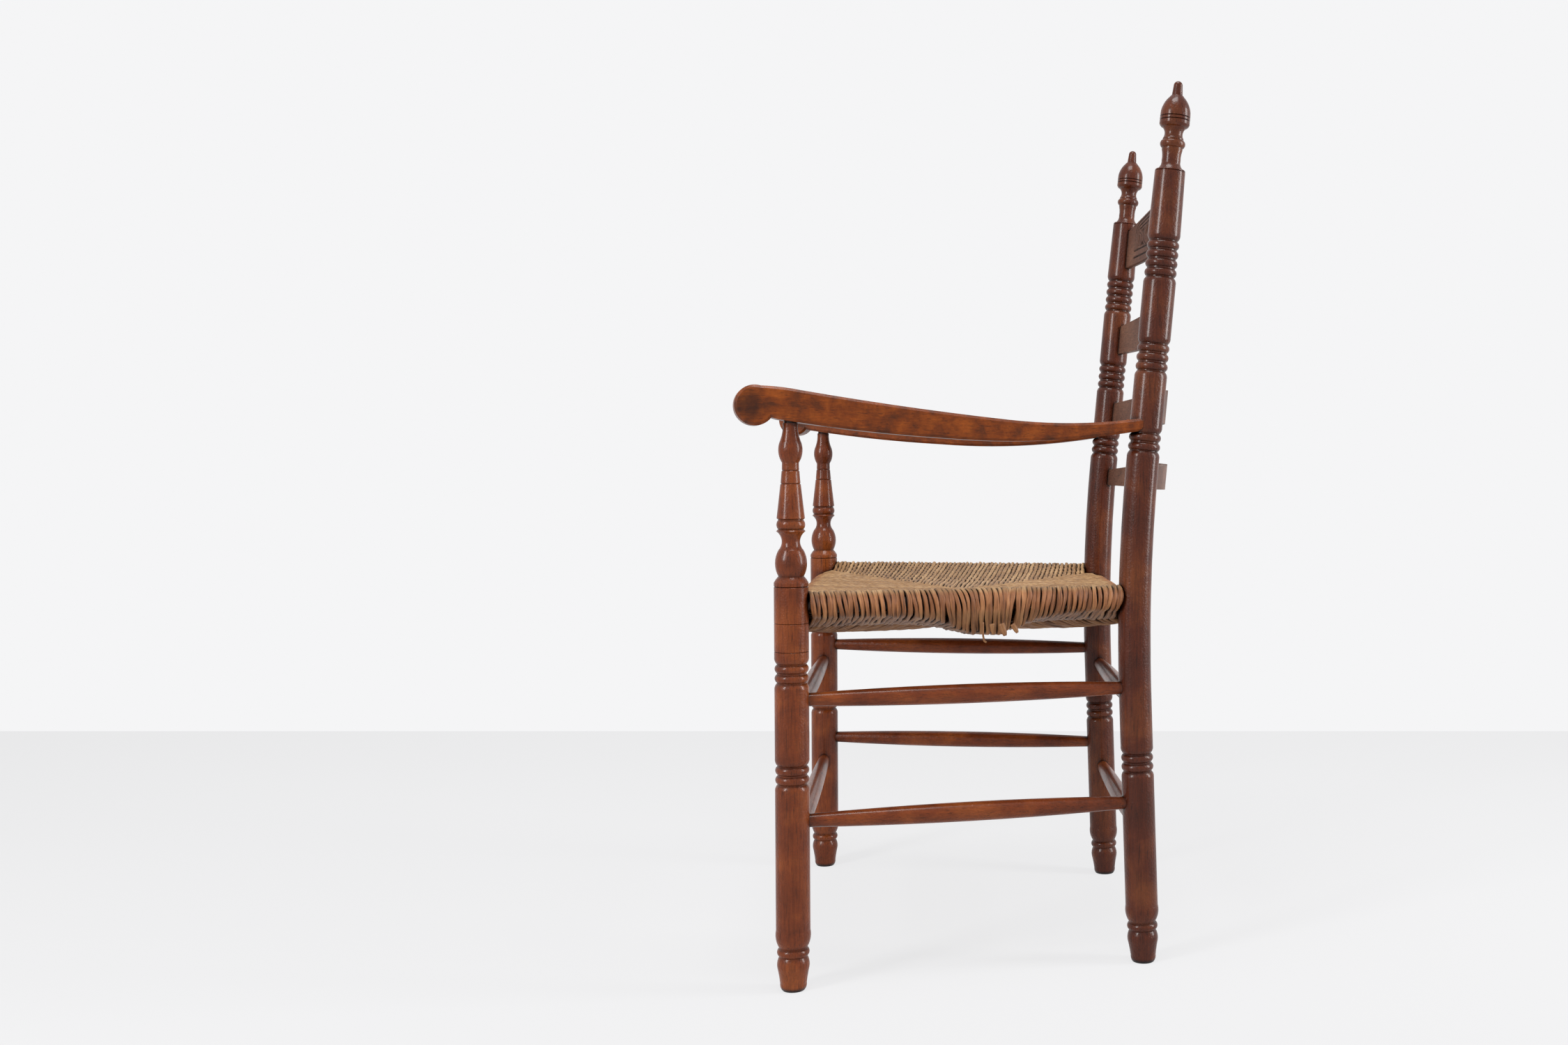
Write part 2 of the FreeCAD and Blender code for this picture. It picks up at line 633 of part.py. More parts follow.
def make_arm(name, side):
    """Sawn from a plank to its side view, coped over the back post, its edges eased."""
    frame, length = arm_frame(side)
    body = new_body(f"{name}_arm", frame)
    scroll, centre = f"{length} + dims.arm_overhang", "dims.arm_scroll_lift"
    nose = "dims.arm_scroll_radius"
    waist = "0 - dims.arm_waist_drop"
    rear = "0 - dims.arm_rear_drop"
    outline = Outline("dims.post_radius * 0.3", rear)
    outline.arc(f"{length} * 0.33", waist, f"{length} * 0.58", f"{waist} + 2.7")
    outline.arc(f"{length} * 0.80", f"{waist} * 0.47", f"{length} + 15", 4)
    outline.line(f"{scroll} - {nose} * 0.80", f"{centre} - {nose} * 0.60")
    outline.arc(f"{scroll} + {nose}", centre, f"{scroll} - {nose} * 0.28", f"{centre} + {nose} * 0.96")
    outline.arc(f"{length} + 15", "dims.arm_front_height - 0.3",
                f"{length} - 11", "dims.arm_front_height - 4")
    outline.arc(f"{length} * 0.67", f"{waist} + dims.arm_waist_height + 12.9",
                f"{length} * 0.41", f"{waist} + dims.arm_waist_height")
    outline.arc(f"{length} * 0.23", f"{waist} + dims.arm_waist_height - 3.6",
                "dims.post_radius * 0.3", f"{rear} + dims.arm_rear_height")
    outline.close()
    pad = extrude(body, "Pad", "board", outline, "XZ_Plane", "dims.arm_width")
    doc.recompute()
    long_edges = [f"Edge{number}" for number, edge in enumerate(pad.Shape.Edges, start=1)
                  if abs(edge.tangentAt(edge.FirstParameter).y) < 0.5]
    easing = body.newObject("PartDesign::Chamfer", f"{body.Name}_eased_edges")
    easing.Base = (pad, long_edges)
    easing.setExpression("Size", "dims.arm_easing")
    cope = body.newObject("PartDesign::SubtractiveCylinder", f"{body.Name}_cope")
    cope.setExpression("Radius", "dims.post_radius + dims.mortise_clearance")
    cope.setExpression("Height", "dims.post_radius * 10")
    aside = side * value("dims.back_spread") / 2
    along = (frame.Base.z - ladder_frame(0).Base.z) / math.cos(bend - rake)
    below = Placement(Vector(aside, 0, -value("dims.post_radius") * 5), Rotation())
    cope.Placement = frame.inverse().multiply(ladder_frame(along)).multiply(below)
    tenon = body.newObject("PartDesign::AdditiveCylinder", f"{body.Name}_rear_tenon")
    tenon.setExpression("Radius", "dims.arm_tenon_radius")
    tenon.setExpression("Height", "dims.arm_tenon_depth * 1.5")
    blind_end = arm_tenon(side)
    ahead = Placement(Vector(0, 0, value("dims.socket_end_gap")), Rotation())
    tenon.Placement = frame.inverse().multiply(blind_end).multiply(ahead)
    hole = body.newObject("PartDesign::SubtractiveCylinder", f"{body.Name}_front_socket")
    hole.setExpression("Radius", "dims.support_tenon_radius + dims.tenon_clearance")
    hole.setExpression("Height", "2 * dims.support_tenon_length")
    hole.Placement = Placement(
        Vector(length, 0, value("dims.socket_end_gap") - value("dims.support_tenon_length")), Rotation())
    return body


def seat_field(start, end, rail_height, roll, pouch, inner, reach):
    """One field of the rush seat: from a rolled edge round its rail in to the middle.

    start and end are the rail's ends on the post axes, roll the outside radius of the
    rolled edge, pouch the height of the field's lowest part, inner the points where it
    ends, and reach the distance from the rail to them."""
    along = (end - start).normalize()
    inwards = ALONG_Z.cross(along)
    if inwards.dot(inner[0] - start) < 0:
        inwards = inwards * -1
    outwards = inwards * -value("dims.post_radius")
    corners = [start, start + outwards, end + outwards, end] + inner
    plan = Part.makePolygon([Vector(point.x, point.y, pouch - PAST) for point in corners + [start]])
    wedge = Part.Face(plan).extrude(Vector(0, 0, 4 * PAST))
    top = value("dims.leg_top - dims.seat_centre_drop")
    bottom = top - value("dims.seat_core")
    roll_top, roll_bottom = rail_height + roll, rail_height - roll

    def at(inward, height):
        return start + inwards * inward + Vector(0, 0, height - start.z) - along * PAST

    runs = [
        Part.Arc(at(0, roll_bottom), at(-roll, rail_height), at(0, roll_top)),
        Part.Arc(at(0, roll_top), at(reach * 0.55, roll_top * 0.3 + top * 0.7), at(reach, top)),
        Part.LineSegment(at(reach, top), at(reach + roll, top)),
        Part.LineSegment(at(reach + roll, top), at(reach + roll, bottom)),
        Part.LineSegment(at(reach + roll, bottom), at(reach, bottom)),
        Part.Arc(at(reach, bottom), at(reach * 0.45, pouch), at(0, roll_bottom)),
    ]
    section = Part.Face(Part.Wire([run.toShape() for run in runs]))
    return wedge.common(section.extrude(along * ((end - start).Length + 2 * PAST)))


def make_rush_seat(joints):
    """The woven seat as one solid: four fields, less the rails and posts it goes round."""
    side_height = value("dims.leg_top - dims.side_rail_drop")
    cross_height = value("dims.leg_top - dims.cross_rail_drop")
    side_roll = value("dims.rail_radius + dims.side_wrap")
    cross_roll = value("dims.rail_radius + dims.cross_wrap")
    side_pouch = value("dims.leg_top - dims.side_pouch_drop")
    cross_pouch = value("dims.leg_top - dims.cross_pouch_drop")
    ridge_y = value("dims.seat_ridge_offset")
    ridge = [Vector(side * value("dims.seat_ridge_half"), ridge_y, 0) for side in (1, -1)]
    rails = {name: (first, last) for name, first, last, kind in joints if kind == "rail"}
    plans = (
        ("left_seat_rail", side_height, side_roll, side_pouch, ridge[:1]),
        ("right_seat_rail", side_height, side_roll, side_pouch, ridge[1:]),
        ("front_seat_rail", cross_height, cross_roll, cross_pouch, ridge),
        ("back_seat_rail", cross_height, cross_roll, cross_pouch, ridge),
    )
    fields = []
    for rail, height, roll, pouch, inner in plans:
        start, end = (Vector(point.x, point.y, 0) for point in rails[rail])
        reach = inner[0].distanceToLine(start, end - start)
        fields.append(seat_field(start, end, height, roll, pouch, inner, reach))
    seat = fields[0].multiFuse(fields[1:])
    clearance = value("dims.rush_clearance")
    tools = []
    for first, last in rails.values():
        tools.append(Part.makeCylinder(value("dims.rail_radius") + clearance, (last - first).Length,
                                       first, last - first))
    for side in SIDES.values():
        for axis in (front_axis, back_axis):
            foot = axis(side, min(side_pouch, cross_pouch))
            head = axis(side, side_height + side_roll)
            bent = (head - foot).Length ** 2 / (8 * bend_radius)
            tools.append(Part.makeCylinder(value("dims.post_radius") + clearance + bent,
                                           (head - foot).Length, foot, head - foot))
    seat = seat.cut(tools[0].multiFuse(tools[1:]))
    rush = doc.addObject("Part::Feature", "rush_seat")
    rush.Label = "rush_seat"
    rush.Shape = seat.removeSplitter()
    return rush


def make_chair():
    joints = rung_joints()
    pieces = [make_rung(*joint) for joint in joints]
    for name, side in SIDES.items():
        pieces.append(make_front_post(name, side, joints))
        pieces.append(make_back_post(name, side, joints))
        pieces.append(make_arm(name, side))
    for node, size in SLATS.items():
        pieces.append(make_slat(node, size))
    pieces.append(make_rush_seat(joints))
    return pieces


def centre_on_origin(pieces):
    """Move every piece alike, so that the chair's box is centred over the origin."""
    box = FreeCAD.BoundBox()
    for piece in pieces:
        box.add(piece.Shape.optimalBoundingBox(False, False))
    middle = Vector((box.XMin + box.XMax) / 2, (box.YMin + box.YMax) / 2, box.ZMin)
    for piece in pieces:
        moved = Placement(piece.Placement)
        moved.Base = moved.Base - middle
        piece.Placement = moved
    return middle


def check_and_write(pieces):
    """Refuse a failed object or a bad shape, then write one STEP file for each piece."""
    for item in doc.Objects:
        if {"Invalid", "Error"} & set(item.State):
            raise RuntimeError(f"{item.Name} failed: {item.State}")
    os.makedirs("parts", exist_ok=True)
    for piece in pieces:
        shape = piece.Shape
        if shape.isNull() or not shape.isValid() or not shape.Solids:
            raise RuntimeError(f"{piece.Label} has no valid solid")
        print(f"{piece.Label}: {len(shape.Solids)} solid, {shape.Volume / 1000:.1f} cm3")
        shape.exportStep(f"parts/{piece.Label}.step")


pieces = make_chair()
doc.recompute()
centre = centre_on_origin(pieces)
doc.recompute()
print(f"frame moved by {-centre.x:.2f} {-centre.y:.2f} {-centre.z:.2f}")
check_and_write(pieces)
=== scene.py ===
"""Ladder-back armchair with a rush seat: its finishes, carved crest, woven seat and stage."""

import math
import random

import bmesh
import bpy
import numpy as np
from bpy.props import FloatProperty, FloatVectorProperty, IntProperty, PointerProperty
from mathutils import Matrix, Vector, noise


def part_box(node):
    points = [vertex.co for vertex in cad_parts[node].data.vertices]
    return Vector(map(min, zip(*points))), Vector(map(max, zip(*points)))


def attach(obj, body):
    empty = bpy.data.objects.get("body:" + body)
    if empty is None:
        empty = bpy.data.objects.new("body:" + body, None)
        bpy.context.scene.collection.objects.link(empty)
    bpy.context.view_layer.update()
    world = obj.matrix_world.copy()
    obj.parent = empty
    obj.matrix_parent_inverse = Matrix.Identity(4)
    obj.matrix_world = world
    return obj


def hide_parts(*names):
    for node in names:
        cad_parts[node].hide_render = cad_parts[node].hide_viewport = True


bl_info = {
    "name": "Rush-seat armchair",
    "version": (1, 0, 0),
    "blender": (4, 5, 0),
    "location": "View3D > Sidebar > Armchair",
    "description": "Dresses the ladder-back armchair: shellacked wood, carved crest, woven rush",
    "category": "Object",
}

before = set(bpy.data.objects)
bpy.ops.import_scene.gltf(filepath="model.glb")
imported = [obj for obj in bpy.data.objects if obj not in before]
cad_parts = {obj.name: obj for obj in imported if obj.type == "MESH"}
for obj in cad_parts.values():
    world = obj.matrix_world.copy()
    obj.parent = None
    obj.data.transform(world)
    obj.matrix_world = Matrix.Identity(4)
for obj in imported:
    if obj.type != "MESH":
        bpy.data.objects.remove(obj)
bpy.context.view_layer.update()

FRONT_TURNINGS = {
    "Z": ["left_front_post", "right_front_post"],
    "Y": ["upper_left_rung", "lower_left_rung", "upper_right_rung", "lower_right_rung",
          "left_seat_rail", "right_seat_rail"],
    "X": ["upper_front_rung", "lower_front_rung", "upper_back_rung", "lower_back_rung",
          "front_seat_rail", "back_seat_rail"],
}
BACK_POSTS = ["left_back_post", "right_back_post"]
PLAIN_SLATS = ["upper_slat", "middle_slat", "lower_slat"]
ARMS = ["left_arm", "right_arm"]


def linear(code):
    """An sRGB hex colour as the linear colour that a shader takes."""
    channels = [int(code[place:place + 2], 16) / 255 for place in (0, 2, 4)]
    return [c / 12.92 if c <= 0.04045 else ((c + 0.055) / 1.055) ** 2.4 for c in channels] + [1.0]


def each(millimetres):
    """The texture scale that repeats a pattern once in so many millimetres."""
    return 1000 / millimetres


def limit(number, low=0.0, high=1.0):
    """A number kept between two others."""
    return max(low, min(high, number))


class WoodSettings(bpy.types.PropertyGroup):
    dark: FloatVectorProperty(
        name="Dark stain", description="Stain where the wood took most of it",
        subtype="COLOR", size=4, min=0, max=1, default=linear("50220e"))
    body: FloatVectorProperty(
        name="Stain", description="The commonest colour of the turned wood",
        subtype="COLOR", size=4, min=0, max=1, default=linear("672e12"))
    amber: FloatVectorProperty(
        name="Worn amber", description="Turned wood where the stain has worn thin",
        subtype="COLOR", size=4, min=0, max=1, default=linear("80411b"))
    pebble: FloatProperty(
        name="Shellac pebble", description="Width of one pebble of the crazed shellac",
        subtype="DISTANCE", default=0.0023, min=0.0005, max=0.01)


class CrestSettings(bpy.types.PropertyGroup):
    thickness: FloatProperty(
        name="Thickness", description="Thickness of the bent board",
        subtype="DISTANCE", default=0.008, min=0.004, max=0.02)
    end_height: FloatProperty(
        name="End height", description="Height of the crest where it enters the posts",
        subtype="DISTANCE", default=0.056, min=0.03, max=0.1)
    lift: FloatProperty(
        name="Lower arch", description="Rise of the bottom edge at the middle",
        subtype="DISTANCE", default=0.010, min=0, max=0.03)
    easing: FloatProperty(
        name="Easing", description="Width taken off its edges",
        subtype="DISTANCE", default=0.0011, min=0, max=0.003)
    petal: FloatProperty(
        name="Petal spacing", description="From one carved petal to the next",
        subtype="DISTANCE", default=0.039, min=0.015, max=0.08)


class RushSettings(bpy.types.PropertyGroup):
    pitch: FloatProperty(
        name="Strand pitch", description="From one strand of the seat to the next, along a rail",
        subtype="DISTANCE", default=0.0063, min=0.005, max=0.02)
    thickness: FloatProperty(
        name="Strand thickness", description="Thickness of a twisted strand",
        subtype="DISTANCE", default=0.0056, min=0.003, max=0.015)
    twist: FloatProperty(
        name="Twist", description="Length over which a strand turns once",
        subtype="DISTANCE", default=0.026, min=0.01, max=0.2)
    sag: FloatProperty(
        name="Slack", description="How far the slackest wraps of the left side hang down",
        subtype="DISTANCE", default=0.026, min=0, max=0.05)
    seed: IntProperty(name="Seed", description="Start of the random draws", default=7)


class StageSettings(bpy.types.PropertyGroup):
    lens: FloatProperty(
        name="Lens", description="Focal length on a 36 mm wide sensor", default=35, min=10, max=200)
    floor_reach: FloatProperty(
        name="Floor", description="From the camera to the far edge of the studio floor",
        subtype="DISTANCE", default=3.5, min=2, max=20)


def add(tree, kind, sockets=None, ramp=None, **settings):
    """Add a node: its settings, its colour ramp, and its sockets' values or links."""
    made = tree.nodes.new(kind)
    for name, setting in settings.items():
        setattr(made, name, setting)
    if ramp:
        elements = made.color_ramp.elements
        while len(elements) < len(ramp):
            elements.new(0.5)
        for element, (place, colour) in zip(elements, ramp):
            element.position = place
            element.color = linear(colour) if isinstance(colour, str) else colour
    for name, given in (sockets or {}).items():
        socket = made.inputs[name]
        if isinstance(given, bpy.types.Node):
            tree.links.new(given.outputs[0], socket)
        elif isinstance(given, tuple) and isinstance(given[0], bpy.types.Node):
            tree.links.new(given[0].outputs[given[1]], socket)
        else:
            socket.default_value = given
    return made


def new_material(name):
    """A material with an empty tree."""
    material = bpy.data.materials.new(name)
    material.use_nodes = True
    material.node_tree.nodes.clear()
    return material, material.node_tree


def finish_material(tree, sockets, height=None, bump=0.3, distance=0.001):
    """Shader and output, with a bump from a height in 0 to 1."""
    if height is not None:
        relief = add(tree, "ShaderNodeBump", {
            "Height": height, "Strength": bump, "Distance": distance})
        sockets = {**sockets, "Normal": relief}
    shader = add(tree, "ShaderNodeBsdfPrincipled", sockets)
    add(tree, "ShaderNodeOutputMaterial", {"Surface": shader})


def multiply(tree, colour, factor):
    """A colour darkened or lightened by a factor node; its result is output 2."""
    return add(tree, "ShaderNodeMix", {0: 1.0, 6: colour, 7: factor},
               data_type="RGBA", blend_type="MULTIPLY")


def scroll_stain(tree, place):
    """Factor of the black stain that hands have left in the middle of an arm's scroll."""
    low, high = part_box("left_arm")
    scroll_radius = 0.0233
    full_stain, clean_wood, darkest = 0.008, 0.021, 0.33
    ragged = 0.016
    centre = (0.0, -(low.y + scroll_radius), -(high.z - scroll_radius))
    side_view = add(tree, "ShaderNodeMapping", {
        "Vector": (place, "Object"), "Location": centre, "Scale": (0, 1, 1)})
    wander = add(tree, "ShaderNodeTexNoise", {
        "Vector": (place, "Object"), "Scale": each(14), "Detail": 4})
    shift = add(tree, "ShaderNodeMath", {
        0: wander, 1: ragged, 2: -ragged / 2}, operation="MULTIPLY_ADD")
    away = add(tree, "ShaderNodeVectorMath", {0: side_view}, operation="LENGTH")
    edge = add(tree, "ShaderNodeMath", {0: (away, "Value"), 1: shift}, operation="ADD")
    return add(tree, "ShaderNodeMapRange", {
        "Value": edge, "From Min": full_stain, "From Max": clean_wood,
        "To Min": darkest, "To Max": 1.0})


def shellacked_beech(name, along, dark, body, amber, roughness=0.36, pebble=0.0023, bump=1.0,
                     coat=0.3, gloss=0.1, patch=55, grime_and_shade=(0.48, 0.97, 0.06), scroll=False):
    """Stained beech under old shellac, turned or sawn: faint clouds of stain, fine grain
    and short dark pores along the piece, grooves, cuts and joints darkened partly as real
    soiling and partly as painted shade, and a pebbled gloss that breaks up its highlights.
    The pores are drawn coarser than real ones, so that they show."""
    material, tree = new_material(name)
    place = add(tree, "ShaderNodeTexCoord")
    grain_along, grime_and_shade_reach, pebble_depth = 0.06, 0.007, 0.0005
    stretch = [1.0, 1.0, 1.0]
    stretch["XYZ".index(along)] = grain_along
    fibres = add(tree, "ShaderNodeMapping", {"Vector": (place, "Object"), "Scale": stretch})
    cloud = add(tree, "ShaderNodeTexNoise", {
        "Vector": (place, "Object"), "Scale": each(patch), "Detail": 4, "Roughness": 0.55,
        "Distortion": 0.3})
    stain = add(tree, "ShaderNodeValToRGB", {"Fac": cloud},
                ramp=[(0.28, dark), (0.48, body), (0.70, amber)])
    grain = add(tree, "ShaderNodeTexNoise", {
        "Vector": fibres, "Scale": each(2.6), "Detail": 6, "Roughness": 0.7})
    streak = add(tree, "ShaderNodeMapRange", {
        "Value": grain, "From Min": 0.34, "From Max": 0.66, "To Min": 0.70, "To Max": 1.16})
    pores = add(tree, "ShaderNodeTexNoise", {
        "Vector": fibres, "Scale": each(1.5), "Detail": 2})
    dashes = add(tree, "ShaderNodeMapRange", {
        "Value": pores, "From Min": 0.60, "From Max": 0.68, "To Min": 1.0, "To Max": 0.58})
    grained = multiply(tree, stain, streak)
    pored = multiply(tree, (grained, 2), dashes)
    # Ambient occlusion darkens the grooves, cuts and joints with other pieces: painted shade,
    # standing partly for real soiling there too.
    corners = add(tree, "ShaderNodeAmbientOcclusion", {"Distance": grime_and_shade_reach}, samples=8)
    shut, open_to_air, darkest = grime_and_shade
    dirt_and_shade = add(tree, "ShaderNodeMapRange", {
        "Value": (corners, "AO"), "From Min": shut, "From Max": open_to_air,
        "To Min": darkest, "To Max": 1.0})
    colour = multiply(tree, (pored, 2), dirt_and_shade)
    if scroll:
        colour = multiply(tree, (colour, 2), scroll_stain(tree, place))
    craze = add(tree, "ShaderNodeTexVoronoi", {
        "Vector": (place, "Object"), "Scale": 1 / pebble, "Randomness": 1.0},
        feature="SMOOTH_F1")
    flow = add(tree, "ShaderNodeTexNoise", {
        "Vector": (place, "Object"), "Scale": each(5), "Detail": 4})
    height = add(tree, "ShaderNodeMath", {0: craze, 1: flow}, operation="ADD")
    sheen = add(tree, "ShaderNodeMapRange", {
        "Value": cloud, "From Min": 0.3, "From Max": 0.7,
        "To Min": roughness + 0.04, "To Max": roughness - 0.03})
    finish_material(tree, {
        "Base Color": (colour, 2), "Roughness": sheen, "IOR": 1.5, "Specular IOR Level": gloss,
        "Coat Weight": coat, "Coat Roughness": 0.17}, height, bump, pebble_depth)
    return material


def clothe(nodes, material):
    """Give carried-over nodes their finish."""
    for name in nodes:
        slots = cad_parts[name].data.materials
        slots.clear()
        slots.append(material)


def new_piece(name, mesh, material, slot, *nodes):
    """Link a finished mesh as a piece of the chair that stands for its nodes."""
    piece = bpy.data.objects.new(name, mesh)
    bpy.context.scene.collection.objects.link(piece)
    mesh.materials.clear()
    mesh.materials.append(material)
    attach(piece, "root")
    if nodes:
        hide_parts(*nodes)
    return piece


class ARMCHAIR_OT_turnings(bpy.types.Operator):
    """Finish the posts, rungs and seat rails in shellacked beech"""
    bl_idname = "armchair.turnings"
    bl_label = "Turned posts and rungs"

    def execute(self, context):
        wood = context.scene.armchair_wood
        dark, body, amber = tuple(wood.dark), tuple(wood.body), tuple(wood.amber)
        for along, nodes in FRONT_TURNINGS.items():
            clothe(nodes, shellacked_beech(
                f"shellacked_beech_along_{along}", along, dark, body, amber, pebble=wood.pebble))
        clothe(BACK_POSTS, shellacked_beech(
            "shellacked_beech_back_posts", "Z",
            linear("3f190b"), linear("4b1f0e"), linear("633217"), pebble=wood.pebble))
        return {"FINISHED"}


def waxed_beech():
    """The slats' finish: the same stain, never shellacked, dulled by wax and dust."""
    return shellacked_beech(
        "waxed_beech_slat", "X", linear("48291d"), linear("5a3a2c"), linear("704d3b"),
        roughness=0.5, bump=0.2, coat=0.0, gloss=0.3, grime_and_shade=(0.55, 0.97, 0.05))


class ARMCHAIR_OT_slats(bpy.types.Operator):
    """Finish the three plain slats, which are duller than the turned wood"""
    bl_idname = "armchair.slats"
    bl_label = "Plain slats"

    def execute(self, context):
        clothe(PLAIN_SLATS, waxed_beech())
        return {"FINISHED"}


class ARMCHAIR_OT_arms(bpy.types.Operator):
    """Finish the sawn arms, which hands have worn to orange"""
    bl_idname = "armchair.arms"
    bl_label = "Arms"

    def execute(self, context):
        clothe(ARMS, shellacked_beech(
            "handworn_beech_arm", "Y", linear("492108"), linear("6a2f07"), linear("823f0f"),
            roughness=0.42, bump=0.4, coat=0.1, gloss=0.2, patch=16, scroll=True))
        return {"FINISHED"}


def arch(across, half, rise):
    """Height at a place across a round arch of so much rise between two ends."""
    if abs(across) >= half or rise <= 0:
        return 0.0
    radius = (half ** 2 + rise ** 2) / (2 * rise)
    return rise - radius + math.sqrt(radius ** 2 - across ** 2)


class Crest:
    """The bent, leaning crest board, worked out from its node's box and the slat below it."""

    def __init__(self, settings):
        low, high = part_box("crest_slat")
        other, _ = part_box("middle_slat")
        post_low, post_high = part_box("left_front_post")
        lean = math.atan2(low.y - other.y, low.z - other.z)
        sine, cosine = math.sin(lean), math.cos(lean)
        self.thickness = settings.thickness
        self.half = high.x
        self.up = Vector((0, sine, cosine))
        self.back = Vector((0, cosine, -sine))
        self.foot = Vector((0, low.y, low.z)) + Vector((0, cosine, sine)) * self.thickness / 2
        reach = high - self.foot
        self.peak = reach.y * sine + reach.z * cosine - self.thickness * sine * cosine
        self.bow = reach.y * cosine - reach.z * sine - self.thickness / 2 * math.cos(2 * lean)
        self.shoulder = self.half - (post_high.x - post_low.x) / 2
        self.end_height = settings.end_height
        self.lift = settings.lift

    def edges(self, across):
        """Heights of the bottom and top edges above the straight underside."""
        rise = self.peak - self.end_height
        bottom = arch(across, self.shoulder, self.lift)
        return bottom, self.end_height + arch(across, self.shoulder, rise)

    def point(self, across, depth, height):
        behind = arch(across, self.half, self.bow) + depth
        spot = self.foot + self.back * behind + self.up * height
        return Vector((across, spot.y, spot.z))


def cut_line(distance, place, width=0.0028, depth=0.0024):
    """Depth of a V-shaped incised line, at a distance from the edge that it follows."""
    return depth * limit(1 - abs(distance - place) / (width / 2))


def petal_cut(aside, height, half_width, half_height, depth):
    """Depth of a chip cut as a pointed petal, deepest down its middle."""
    steepness = 1.1
    inside = half_width * (1 - (height / half_height) ** 2) - abs(aside)
    return min(depth, max(0.0, inside) * steepness)


def triangle_cut(aside, height, half_width, tall, depth):
    """Depth of a three-sided chip that stands on its base."""
    steepness = 0.9
    share = height / tall
    if not 0 < share < 1:
        return 0.0
    inside = min(half_width * (1 - share) - abs(aside), height, (tall - height))
    return min(depth, max(0.0, inside) * steepness)


def chip_carving(across, above, below, inside_end, spacing):
    """Depth of the crest's chip carving at a place on its face.

    above and below are the distances to its bottom and top edges, inside_end the
    distance to the post. A plain strip is left beside the post."""
    strip, corner = 0.020, 0.018
    plinth_lines = (0.0105, 0.0205)
    border_lines = (0.0045, 0.0100, 0.0155)
    margin, smallest_panel = 0.002, 0.004
    petal_width, petal_depth = 0.30, 0.0054
    outline_width, outline_line = 0.42, (0.0022, 0.0014)
    chip_width, chip_depth = 0.22, 0.0048
    end = inside_end - strip
    near_top, near_end = max(corner - below, 0.0), max(corner - end, 0.0)
    rounded = near_top > 0 and near_end > 0
    rim = corner - math.hypot(near_top, near_end) if rounded else min(below, end)
    if end < margin:
        return 0.0
    depth = max(cut_line(above, place) for place in plinth_lines)
    if above <= plinth_lines[1]:
        return depth
    depth = max([depth] + [cut_line(rim, place) for place in border_lines])
    if rim <= border_lines[-1] + 0.001:
        return depth
    half_height = (above + below - plinth_lines[1] - border_lines[-1] - 2 * margin) / 2
    if half_height < smallest_panel:
        return depth
    level = above - plinth_lines[1] - margin - half_height
    aside = across - math.floor(across / spacing + 0.5) * spacing
    between = (across / spacing - math.floor(across / spacing) - 0.5) * spacing
    outline = spacing * outline_width * (1 - (level / (half_height * 1.05)) ** 2) - abs(aside)
    depth = max(depth, cut_line(outline, 0.0, *outline_line))
    depth = max(depth, petal_cut(
        aside, level, spacing * petal_width, half_height * 0.88, petal_depth))
    for foot in (half_height + level, half_height - level):
        depth = max(depth, triangle_cut(
            between, foot - margin / 2, spacing * chip_width, half_height * 0.6, chip_depth))
    return depth


def carve_crest(settings):
    """The crest as one closed board: a fine carved face, eased edges and a plain back."""
    crest = Crest(settings)
    columns, face_rows, back_rows = 400, 92, 6
    ease = settings.easing
    half_thick = crest.thickness / 2
    rows = [("face", row / face_rows) for row in range(face_rows + 1)]
    rows += [("top", -1), ("top", 1)]
    rows += [("back", 1 - row / back_rows) for row in range(back_rows + 1)]
    rows += [("bottom", 1), ("bottom", -1), ("face", 0.0)]
    board = bmesh.new()
    bmesh.ops.create_grid(board, x_segments=columns, y_segments=len(rows) - 1, size=0.5)
    for vert in board.verts:
        across = 2 * crest.half * vert.co.x
        kind, share = rows[round((vert.co.y + 0.5) * (len(rows) - 1))]
        bottom, top = crest.edges(across)
        if kind in ("face", "back"):
            height = bottom + ease + (top - bottom - 2 * ease) * share
            depth = half_thick if kind == "back" else -half_thick
            if kind == "face":
                depth += chip_carving(across, height - bottom, top - height,
                                      crest.shoulder - abs(across), settings.petal)
        else:
            height = top if kind == "top" else bottom
            depth = share * (half_thick - ease)
        vert.co = crest.point(across, depth, height)
    bmesh.ops.remove_doubles(board, verts=board.verts, dist=1e-6)
    bmesh.ops.holes_fill(board, edges=[edge for edge in board.edges if edge.is_boundary], sides=0)
    bmesh.ops.recalc_face_normals(board, faces=board.faces)
    mesh = bpy.data.meshes.new("carved_crest")
    board.to_mesh(mesh)
    board.free()
    mesh.polygons.foreach_set("use_smooth", [True] * len(mesh.polygons))
    return mesh


class ARMCHAIR_OT_crest(bpy.types.Operator):
    """Carve the crest with its incised border and its row of petals"""
    bl_idname = "armchair.crest"
    bl_label = "Carved crest"

    def execute(self, context):
        mesh = carve_crest(context.scene.armchair_crest)
        new_piece("carved_crest", mesh, bpy.data.materials["waxed_beech_slat"],
                  "slat_wood", "crest_slat")
        return {"FINISHED"}


def seat_corners():
    """Corners of the seat on the post axes, in plan: front left and back left."""
    post_low, post_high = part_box("left_front_post")
    back_low, back_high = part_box("left_back_post")
    rail_low, rail_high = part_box("back_seat_rail")
    front = Vector(((post_low.x + post_high.x) / 2, (post_low.y + post_high.y) / 2))
    back = Vector(((back_low.x + back_high.x) / 2, (rail_low.y + rail_high.y) / 2))
    return front, back


def rail_height(node):
    """Height of a level rail's axis."""
    low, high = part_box(node)
    return (low.z + high.z) / 2


